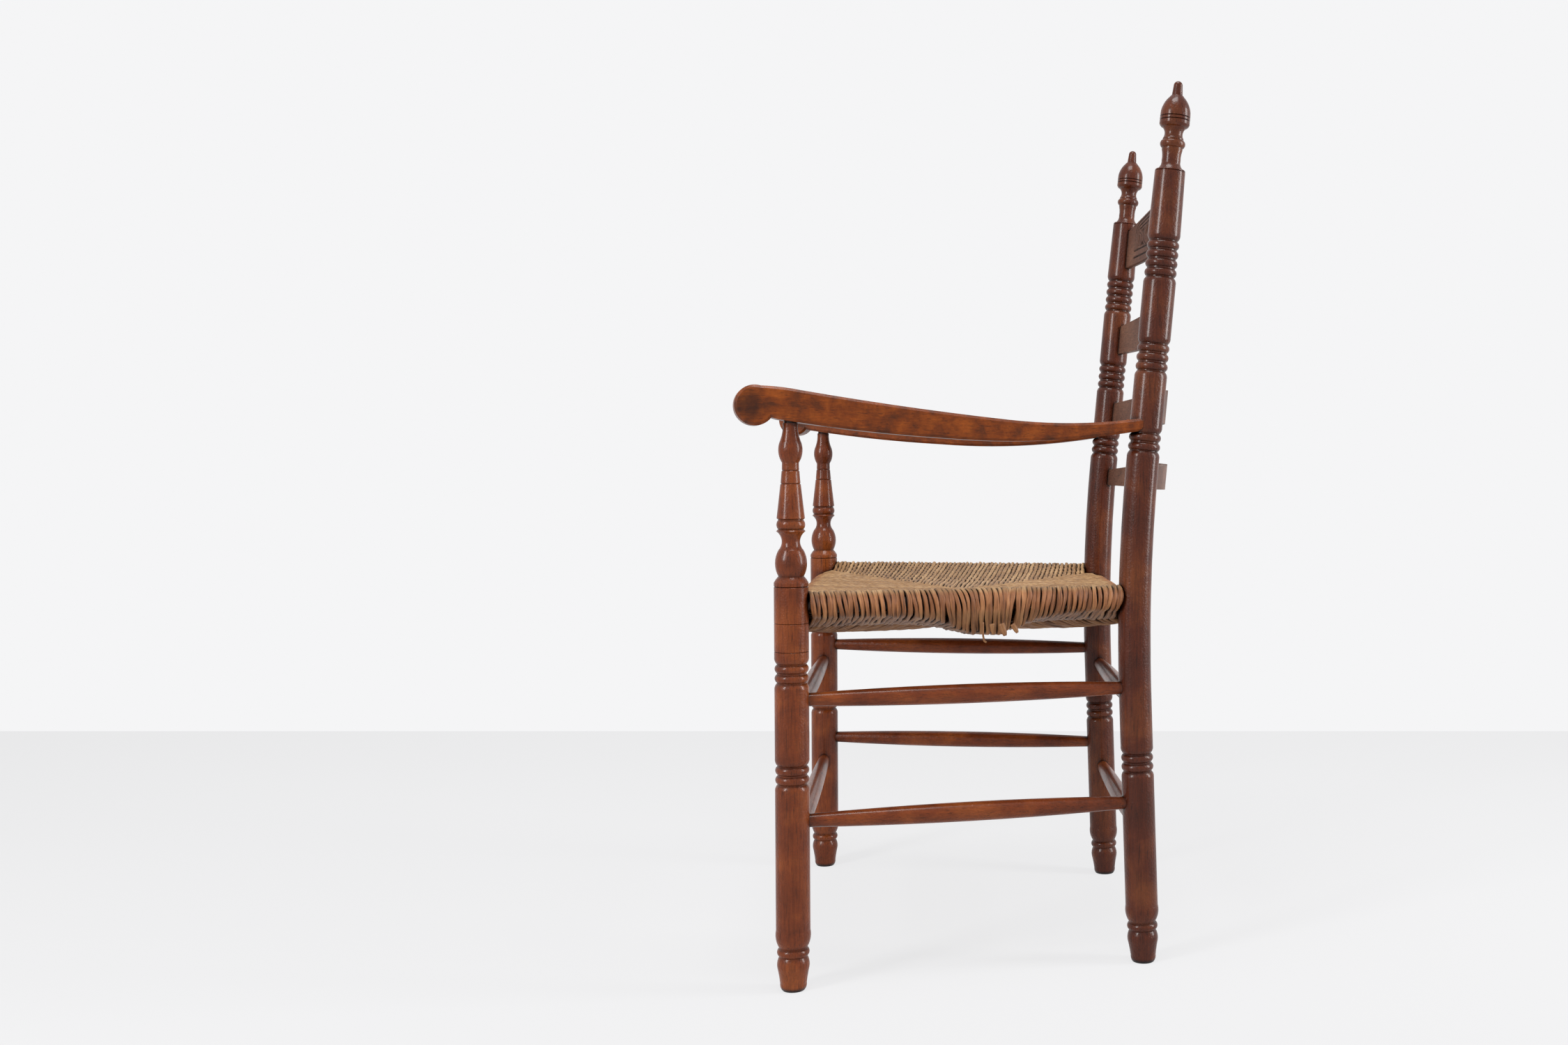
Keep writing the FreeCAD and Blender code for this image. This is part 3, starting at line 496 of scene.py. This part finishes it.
class Field:
    """One of the four fields of strands: the rail it goes over and where its strands end."""

    def __init__(self, name, start, end, height, roll, belly, inner):
        self.name = name
        self.start = start
        self.height = height
        self.roll = roll
        self.belly = belly
        self.length = (end - start).length
        self.along = (end - start).normalized()
        self.inwards = Vector((-self.along.y, self.along.x))
        if self.inwards.dot(inner[0] - start) < 0:
            self.inwards = -self.inwards
        local = [((point - start).dot(self.along), (point - start).dot(self.inwards))
                 for point in inner]
        self.seam = [(0.0, 0.0)] + sorted(local) + [(self.length, 0.0)]
        self.deepest = max(inward for _, inward in self.seam)
        low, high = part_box("rush_seat")
        corner_dip, middle_dip = 0.0120, 0.0255
        corner_lift, middle_lift = 0.0300, 0.0155
        self.seam_tops = (high.z - corner_dip, high.z - middle_dip)
        self.seam_bottoms = (low.z + corner_lift, low.z + middle_lift)

    def seam_at(self, place):
        """Distance to the seam from the rail, and how far along the seam that is."""
        for (t0, u0), (t1, u1) in zip(self.seam, self.seam[1:]):
            if t0 <= place <= t1:
                share = (place - t0) / (t1 - t0)
                reach = u0 + (u1 - u0) * share
                return reach, min(reach / self.deepest, 1.0)
        raise ValueError(place)

    def point(self, place, inward, height):
        spot = self.start + self.along * place + self.inwards * inward
        return Vector((spot.x, spot.y, height))

    def inward(self, spot):
        """How far a point lies in from the rail."""
        return (Vector((spot.x, spot.y)) - self.start).dot(self.inwards)

    def airing(self, spot):
        """1 on top of the seat, 0.5 on the outside of a roll and 0 underneath, where darker colours
        are painted on as shade.
        """
        inward = max(self.inward(spot), 0.0)
        middle = (self.seam_tops[1] + self.seam_bottoms[1]) / 2
        above = spot.z - self.height - (middle - self.height) * inward / self.deepest
        shoulder, flat = 0.0105, 0.0015
        start = shoulder - (shoulder - flat) * limit(inward / 0.02)
        upper = limit((above - start) / 0.004)
        lower = limit((-above - start + 0.004) / 0.008)
        return 0.5 + 0.5 * upper - 0.5 * lower


def seat_fields():
    """The four fields, which meet along a short ridge in the middle of the seat."""
    front, back = seat_corners()
    flip = Vector((-1, 1))
    half_ridge, ridge_behind_front = 0.038, 0.2055
    apex = Vector((half_ridge, front.y + ridge_behind_front))
    side, cross = rail_height("left_seat_rail"), rail_height("front_seat_rail")
    side_roll, cross_roll = 0.0165, 0.0120
    side_belly, cross_belly = 0.0055, 0.0205
    return [
        Field("left", front, back, side, side_roll, side_belly, [apex]),
        Field("right", front * flip, back * flip, side, side_roll, side_belly, [apex * flip]),
        Field("front", front * flip, front, cross, cross_roll, cross_belly, [apex * flip, apex]),
        Field("back", back * flip, back, cross, cross_roll, cross_belly, [apex * flip, apex]),
    ]


def resample(points, step):
    """Points at an even step along a polyline."""
    spans = [(b - a).length for a, b in zip(points, points[1:])]
    total = sum(spans)
    count = max(4, round(total / step))
    result = []
    run, index = 0.0, 0
    for number in range(count + 1):
        target = total * number / count
        while index < len(spans) - 1 and run + spans[index] < target:
            run += spans[index]
            index += 1
        share = (target - run) / max(spans[index], 1e-9)
        result.append(points[index].lerp(points[index + 1], min(share, 1.0)))
    return result, total


def tube(centres, sideways, half_width, half_height, turn, sides=12, lobe=0.20, leaf=0.08, odd=0.0):
    """A twisted strand along its centres: two plies, with the edge of a leaf on them.

    half_width, half_height and turn are lists, one entry a ring. lobe and leaf are how far
    the plies and the leaf's edges stand out, as shares of the strand's radius."""
    strand = bmesh.new()
    strand.loops.layers.uv.new("strand")
    rings = len(centres)
    bmesh.ops.create_grid(strand, x_segments=rings - 1, y_segments=sides, size=0.5, calc_uvs=True)
    frames = []
    for ring, centre in enumerate(centres):
        before, after = centres[max(ring - 1, 0)], centres[min(ring + 1, rings - 1)]
        tangent = (after - before).normalized()
        side = (sideways - tangent * sideways.dot(tangent)).normalized()
        frames.append((side, side.cross(tangent)))
    for vert in strand.verts:
        ring = round((vert.co.x + 0.5) * (rings - 1))
        angle = (vert.co.y + 0.5) * 2 * math.pi
        side, up = frames[ring]
        turned = angle - turn[ring]
        swell = 1 + lobe * math.cos(2 * turned) + leaf * math.cos(5 * turned + odd)
        vert.co = (centres[ring] + side * (math.cos(angle) * half_width[ring] * swell)
                   + up * (math.sin(angle) * half_height[ring] * swell))
    bmesh.ops.remove_doubles(strand, verts=strand.verts, dist=1e-7)
    open_edges = [edge for edge in strand.edges if edge.is_boundary]
    bmesh.ops.holes_fill(strand, edges=open_edges, sides=0)
    return strand


def gather(strands, name, lengths, tones, airing):
    """Join strands into one mesh with their tone, their mask from top to underside (aired tops,
    painted shade underneath) and real length along them.
    """
    whole = bmesh.new()
    tone_layer = whole.verts.layers.float.new("tone")
    airing_and_shade_layer = whole.verts.layers.float.new("airing")
    passing = bpy.data.meshes.new("passing")
    uv_scale = []
    for strand, length, tone in zip(strands, lengths, tones):
        strand.to_mesh(passing)
        strand.free()
        first = len(whole.verts)
        whole.from_mesh(passing)
        whole.verts.ensure_lookup_table()
        for vert in whole.verts[first:]:
            vert[tone_layer] = tone
            vert[airing_and_shade_layer] = airing(vert.co)
        uv_scale += [length] * len(passing.loops)
    mesh = bpy.data.meshes.new(name)
    bmesh.ops.recalc_face_normals(whole, faces=whole.faces)
    whole.to_mesh(mesh)
    whole.free()
    bpy.data.meshes.remove(passing)
    coordinates = np.zeros(len(mesh.loops) * 2, np.float32)
    mesh.uv_layers[0].data.foreach_get("uv", coordinates)
    coordinates = coordinates.reshape(-1, 2)
    coordinates[:, 0] *= np.array(uv_scale, np.float32)
    mesh.uv_layers[0].data.foreach_set("uv", coordinates.ravel())
    mesh.polygons.foreach_set("use_smooth", [True] * len(mesh.polygons))
    return mesh


def strand_route(field, place, rush, lean, droop):
    """The centreline of one strand: over the top, round the rail and back underneath."""
    reach, deep = field.seam_at(place)
    radius = field.roll - rush.thickness / 2
    top, bottom = field.height + radius, field.height - radius
    corner_top, middle_top = field.seam_tops
    corner_bottom, middle_bottom = field.seam_bottoms
    seam_top = corner_top + (middle_top - corner_top) * deep ** 0.8
    seam_bottom = corner_bottom + (middle_bottom - corner_bottom) * deep
    tuck, dip, step_length = 0.007, 0.002, 0.008
    steps = max(3, round(reach / step_length))
    points = [field.point(place, reach + tuck, seam_top - tuck)]
    for step in range(steps, 0, -1):
        share = step / steps
        height = seam_top + (top - seam_top) * (1 - share) ** 1.5
        points.append(field.point(place, reach * share, height - (dip if step == steps else 0)))
    for degrees in range(0, 181, 15):
        angle = math.radians(degrees)
        hang = droop * max(0, (degrees - 90) / 90) ** 1.2
        points.append(field.point(place + lean * degrees / 180, -radius * math.sin(angle),
                                  field.height + radius * math.cos(angle) - hang))
    for step in range(1, steps + 1):
        share = step / steps
        line = (bottom - droop) + (seam_bottom - bottom + droop) * share
        height = line - field.belly * deep ** 0.55 * 4 * share * (1 - share)
        points.append(field.point(place + lean * (1 - share), reach * share, height))
    points.append(field.point(place, reach + tuck, seam_bottom + tuck))
    return points


def weave(field, rush):
    """All the strands of one field as one mesh."""
    draws = random.Random(f"{rush.seed} {field.name}")
    post_low, post_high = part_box("left_front_post")
    edge = (post_high.x - post_low.x) / 2 + rush.pitch * 0.1
    count = round((field.length - 2 * edge) / rush.pitch) + 1
    sideways = Vector((field.along.x, field.along.y, 0))
    slack_middle = seat_corners()[0].y + 0.2315
    slack_spread = 0.062
    splay, slack_splay, ring_step = 0.03, 0.26, 0.0034
    strands, lengths, tones = [], [], []
    for number in range(count):
        place = edge + (field.length - 2 * edge) * number / (count - 1)
        aside = slack_middle - field.point(place, 0, 0).y
        droop, lean = 0.0, draws.uniform(-0.0016, 0.0016)
        if field.name == "left":
            slack = math.exp(-(aside / slack_spread) ** 2)
            droop = rush.sag * slack * draws.uniform(0.8, 1.1)
            lean += aside * (splay + slack_splay * slack) + slack * draws.uniform(-0.004, 0.004)
        centres, length = resample(strand_route(field, place, rush, lean, droop), ring_step)
        phase = draws.uniform(0, math.pi)
        girth = draws.uniform(0.90, 1.08)
        proud = draws.uniform(-0.0010, 0.0010)
        step = length / (len(centres) - 1)
        angle = phase
        turn, wide, high = [], [], []
        for ring, centre in enumerate(centres):
            wrapped = limit(-field.inward(centre) / 0.006)
            beneath = limit((field.height - centre.z) / 0.006)
            loose = max(wrapped, beneath)
            angle += 2 * math.pi * step / rush.twist * (1 - 0.75 * loose)
            turn.append(angle)
            wobble = noise.noise(centre * 60 + Vector((number, 0, 0)))
            wide.append(rush.pitch / 2 * (0.97 + 0.05 * loose + 0.14 * wobble) * girth)
            high.append(rush.thickness / 2 * (1 + 0.12 * wobble) * girth)
            drift = noise.noise(centre * 45 + Vector((0, number * 3.1, 0)))
            lift = Vector((0, 0, 0.0005 * wobble)) + centre.normalized() * proud * wrapped
            centres[ring] = centre + sideways * drift * (0.0007 + 0.0010 * loose) + lift
        strands.append(tube(centres, sideways, wide, high, turn, odd=phase))
        lengths.append(length)
        tones.append(draws.random())
    if field.name == "left":
        for tip, length in loose_ends(field, rush, slack_middle, draws):
            strands.append(tip)
            lengths.append(length)
            tones.append(draws.uniform(0.2, 0.8))
    return gather(strands, f"rush_{field.name}_field", lengths, tones, field.airing)


def loose_ends(field, rush, middle, draws):
    """Frayed leaf ends that hang where the wraps have gone slack, and one broken stalk.

    Each end is given by its place along the rail, slant, length and half width."""
    bottom = field.height - field.roll - rush.sag + 0.007
    outer = field.point(0, -field.roll * 0.55, 0).x
    behind_roll, flat_leaf, stalk = 0.030, 0.0012, 0.0010
    ends = [(0.002, 0.30, 0.013, 0.0030), (0.013, 0.60, 0.015, 0.0036),
            (0.026, 0.85, 0.012, 0.0030)]
    made = []
    for offset, slant, long, width in ends:
        top = Vector((outer - behind_roll + draws.uniform(-0.004, 0.006), middle + offset,
                      bottom + 0.010))
        fall = Vector((0.15, slant * draws.uniform(0.7, 1.2) - 0.1, -1)).normalized() * long
        bend = Vector((draws.uniform(-0.004, 0.004), draws.uniform(-0.003, 0.003), 0))
        route = [top, top + fall * 0.5 + bend * 0.4, top + fall + bend]
        centres, length = resample(route, 0.002)
        last = len(centres) - 1
        wide = [width * (1 - 0.5 * (ring / last) ** 4) for ring in range(last + 1)]
        high = [flat_leaf] * (last + 1)
        turn = [0.0] * (last + 1)
        tip = tube(centres, Vector((0, 1, 0)), wide, high, turn, lobe=0.0, leaf=0.12)
        made.append((tip, length))
    top = Vector((outer - behind_roll, middle - 0.0085, bottom + 0.012))
    route = [top] + [top + Vector(fall) for fall in (
        (0, 0, -0.016), (0, 0.0015, -0.0225), (0, 0.004, -0.024))]
    centres, length = resample(route, 0.0015)
    thin = [stalk] * len(centres)
    stub = tube(centres, Vector((0, 1, 0)), thin, thin, [0.0] * len(centres), sides=6)
    made.append((stub, length))
    return made


def twisted_rush():
    """Rush, dried bulrush leaves twisted by hand: thin ribs along each strand, every
    strand its own shade of straw, browner where it goes round the rails, and darker underneath and
    between the strands as painted shade."""
    material, tree = new_material("twisted_rush")
    tone = add(tree, "ShaderNodeAttribute", attribute_name="tone")
    # air is 1 on aired tops, 0.5 on the wrapped sides and 0 underneath, where the colour is
    # darkened as painted shade.
    air = add(tree, "ShaderNodeAttribute", attribute_name="airing")
    place = add(tree, "ShaderNodeTexCoord")
    along = add(tree, "ShaderNodeUVMap", uv_map="strand")
    leaves = add(tree, "ShaderNodeMapping", {"Vector": along, "Scale": (30, 11, 1)})
    fibre = add(tree, "ShaderNodeTexNoise", {
        "Vector": leaves, "Scale": 1.0, "Detail": 5, "Roughness": 0.65})
    patch = add(tree, "ShaderNodeTexNoise", {
        "Vector": (place, "Object"), "Scale": each(18), "Detail": 3, "Roughness": 0.6})
    mixed = add(tree, "ShaderNodeMath", {
        0: (tone, "Fac"), 1: 0.20, 2: fibre}, operation="MULTIPLY_ADD")
    level = add(tree, "ShaderNodeMath", {0: patch, 1: 0.32, 2: mixed}, operation="MULTIPLY_ADD")
    share = add(tree, "ShaderNodeMapRange", {"Value": level, "From Min": 0.44, "From Max": 1.08})
    # The under colours are darker copies of the wrapped ones: painted shade on the seat's
    # underside.
    under = add(tree, "ShaderNodeValToRGB", {"Fac": share},
                ramp=[(0.0, "3b210e"), (0.45, "7a4e29"), (1.0, "a0764a")])
    wrapped = add(tree, "ShaderNodeValToRGB", {"Fac": share},
                  ramp=[(0.0, "41210e"), (0.45, "804c25"), (1.0, "ba8152")])
    aired = add(tree, "ShaderNodeValToRGB", {"Fac": share},
                ramp=[(0.0, "593a20"), (0.45, "97724c"), (1.0, "ceaa7d")])
    lower = add(tree, "ShaderNodeMapRange", {
        "Value": (air, "Fac"), "From Min": 0.0, "From Max": 0.5})
    upper = add(tree, "ShaderNodeMapRange", {
        "Value": (air, "Fac"), "From Min": 0.5, "From Max": 1.0})
    outside = add(tree, "ShaderNodeMix", {0: lower, 6: under, 7: wrapped}, data_type="RGBA")
    straw = add(tree, "ShaderNodeMix", {0: upper, 6: (outside, 2), 7: aired}, data_type="RGBA")
    # Ambient occlusion darkens the straw between strands and against the rails: painted shade.
    gaps = add(tree, "ShaderNodeAmbientOcclusion", {"Distance": 0.006}, samples=8)
    shade = add(tree, "ShaderNodeMapRange", {
        "Value": (gaps, "AO"), "From Min": 0.32, "From Max": 0.86, "To Min": 0.04, "To Max": 1.0})
    colour = multiply(tree, (straw, 2), shade)
    rib_depth = 0.0012
    finish_material(tree, {
        "Base Color": (colour, 2), "Roughness": 0.52, "IOR": 1.45}, fibre, 0.9, rib_depth)
    return material


class ARMCHAIR_OT_rush(bpy.types.Operator):
    """Weave the rush seat over its rails, strand by strand"""
    bl_idname = "armchair.rush"
    bl_label = "Rush seat"

    def execute(self, context):
        rush = context.scene.armchair_rush
        material = twisted_rush()
        for field in seat_fields():
            new_piece(f"rush_{field.name}_field", weave(field, rush), material,
                      "rush", "rush_seat")
        return {"FINISHED"}


def seen_by_eye(tree):
    """1 for camera, glossy and transmission rays, 0 for those that light the chair."""
    path = add(tree, "ShaderNodeLightPath")
    seen = add(tree, "ShaderNodeMath", {
        0: (path, "Is Camera Ray"), 1: (path, "Is Glossy Ray")}, operation="MAXIMUM")
    return add(tree, "ShaderNodeMath", {
        0: seen, 1: (path, "Is Transmission Ray")}, operation="MAXIMUM")


def studio_paint(name, colour, glow):
    """Matt white studio paint; the eye sees most of it as plain white, so shadows stay faint."""
    material, tree = new_material(name)
    paint = add(tree, "ShaderNodeBsdfDiffuse", {"Color": colour})
    light = add(tree, "ShaderNodeEmission", {"Color": colour, "Strength": 1.0})
    share = add(tree, "ShaderNodeMath", {0: seen_by_eye(tree), 1: glow}, operation="MULTIPLY")
    mixed = add(tree, "ShaderNodeMixShader", {0: share, 1: paint, 2: light})
    add(tree, "ShaderNodeOutputMaterial", {"Surface": mixed})
    return material


def lay_floor(eye, level, reach):
    """The studio floor, whose far edge meets the white wall of the air behind."""
    across = Vector((-level.y, level.x, 0))
    ahead = Vector((level.x, level.y, 0))
    long, wide = 11.0, 14.0
    middle = Vector((eye.x, eye.y, 0)) + ahead * (reach - long / 2)
    sheet = bmesh.new()
    bmesh.ops.create_grid(sheet, x_segments=1, y_segments=1, size=0.5)
    bmesh.ops.scale(sheet, verts=sheet.verts, vec=(long, wide, 1))
    turn = Matrix((ahead, across, Vector((0, 0, 1)))).transposed().to_4x4()
    bmesh.ops.transform(sheet, verts=sheet.verts, matrix=Matrix.Translation(middle) @ turn)
    mesh = bpy.data.meshes.new("floor")
    sheet.to_mesh(mesh)
    sheet.free()
    mesh.materials.append(studio_paint("studio_floor_paint", linear("eeeeef"), 0.88))
    floor = bpy.data.objects.new("floor", mesh)
    bpy.context.scene.collection.objects.link(floor)


def softbox(name, spot, aim, width, height, power):
    """A rectangular lamp at a spot, turned to light its aim."""
    lamp = bpy.data.lights.new(name, "AREA")
    lamp.shape = "RECTANGLE"
    lamp.size, lamp.size_y = width, height
    lamp.energy = power
    holder = bpy.data.objects.new(name, lamp)
    bpy.context.scene.collection.objects.link(holder)
    holder.location = spot
    holder.rotation_mode = "QUATERNION"
    holder.rotation_quaternion = (Vector(aim) - Vector(spot)).to_track_quat("-Z", "Y")


class ARMCHAIR_OT_stage(bpy.types.Operator):
    """Set the white studio, its lamps and the camera of the photograph"""
    bl_idname = "armchair.stage"
    bl_label = "Studio and camera"

    def execute(self, context):
        scene = context.scene
        settings = scene.armchair_stage
        post = seat_corners()[0]
        outward, backward, eye_height, sideways_shift = 1.7786, 0.1573, 0.6119, -0.1618
        eye = Vector((post.x + outward, post.y + backward, eye_height))
        level = Vector((-0.99738, 0.0724, 0)).normalized()
        pitch = math.radians(2.12)
        aim = level * math.cos(pitch) - Vector((0, 0, 1)) * math.sin(pitch)
        camera = bpy.data.objects.new("camera", bpy.data.cameras.new("camera"))
        scene.collection.objects.link(camera)
        scene.camera = camera
        camera.location = eye
        camera.rotation_mode = "QUATERNION"
        camera.rotation_quaternion = aim.to_track_quat("-Z", "Y")
        camera.data.sensor_width = 36
        camera.data.lens = settings.lens
        camera.data.shift_x = sideways_shift
        lay_floor(eye, level, settings.floor_reach)
        scene.world = bpy.data.worlds.new("studio_air")
        scene.world.use_nodes = True
        tree = scene.world.node_tree
        tree.nodes.clear()
        daylight = 0.34
        lit = add(tree, "ShaderNodeBackground", {
            "Color": linear("fbfaf8"), "Strength": daylight})
        wall = add(tree, "ShaderNodeBackground", {"Color": linear("f5f5f6"), "Strength": 1.0})
        air = add(tree, "ShaderNodeMixShader", {0: seen_by_eye(tree), 1: lit, 2: wall})
        add(tree, "ShaderNodeOutputWorld", {"Surface": air})
        softbox("key", (1.8, -2.1, 1.7), (0, 0, 0.6), 0.6, 1.5, 64)
        softbox("edge", (0.45, 2.4, 1.2), (0, 0.1, 0.6), 0.6, 1.8, 56)
        softbox("top", (0.5, 0.0, 2.7), (0, 0, 0.5), 0.8, 0.8, 26)
        scene.view_settings.view_transform = "Standard"
        return {"FINISHED"}


class ARMCHAIR_PT_panel(bpy.types.Panel):
    """The chair's pieces and settings"""
    bl_idname = "ARMCHAIR_PT_panel"
    bl_label = "Armchair"
    bl_space_type = "VIEW_3D"
    bl_region_type = "UI"
    bl_category = "Armchair"

    def draw(self, context):
        for operator in OPERATORS:
            self.layout.operator(operator.bl_idname)
        for group in GROUPS:
            settings = getattr(context.scene, group)
            for name in settings.__annotations__:
                self.layout.prop(settings, name)


OPERATORS = [ARMCHAIR_OT_turnings, ARMCHAIR_OT_slats, ARMCHAIR_OT_crest, ARMCHAIR_OT_arms,
             ARMCHAIR_OT_rush, ARMCHAIR_OT_stage]
GROUPS = {
    "armchair_wood": WoodSettings,
    "armchair_crest": CrestSettings,
    "armchair_rush": RushSettings,
    "armchair_stage": StageSettings,
}


def register():
    for group, kind in GROUPS.items():
        bpy.utils.register_class(kind)
        setattr(bpy.types.Scene, group, PointerProperty(type=kind))
    for kind in OPERATORS + [ARMCHAIR_PT_panel]:
        bpy.utils.register_class(kind)


def unregister():
    for kind in reversed(OPERATORS + [ARMCHAIR_PT_panel]):
        bpy.utils.unregister_class(kind)
    for group, kind in GROUPS.items():
        delattr(bpy.types.Scene, group)
        bpy.utils.unregister_class(kind)


def main():
    register()
    for operator in OPERATORS:
        section, name = operator.bl_idname.split(".")
        getattr(getattr(bpy.ops, section), name)()
    bpy.context.view_layer.update()


if __name__ == "__main__":
    main()
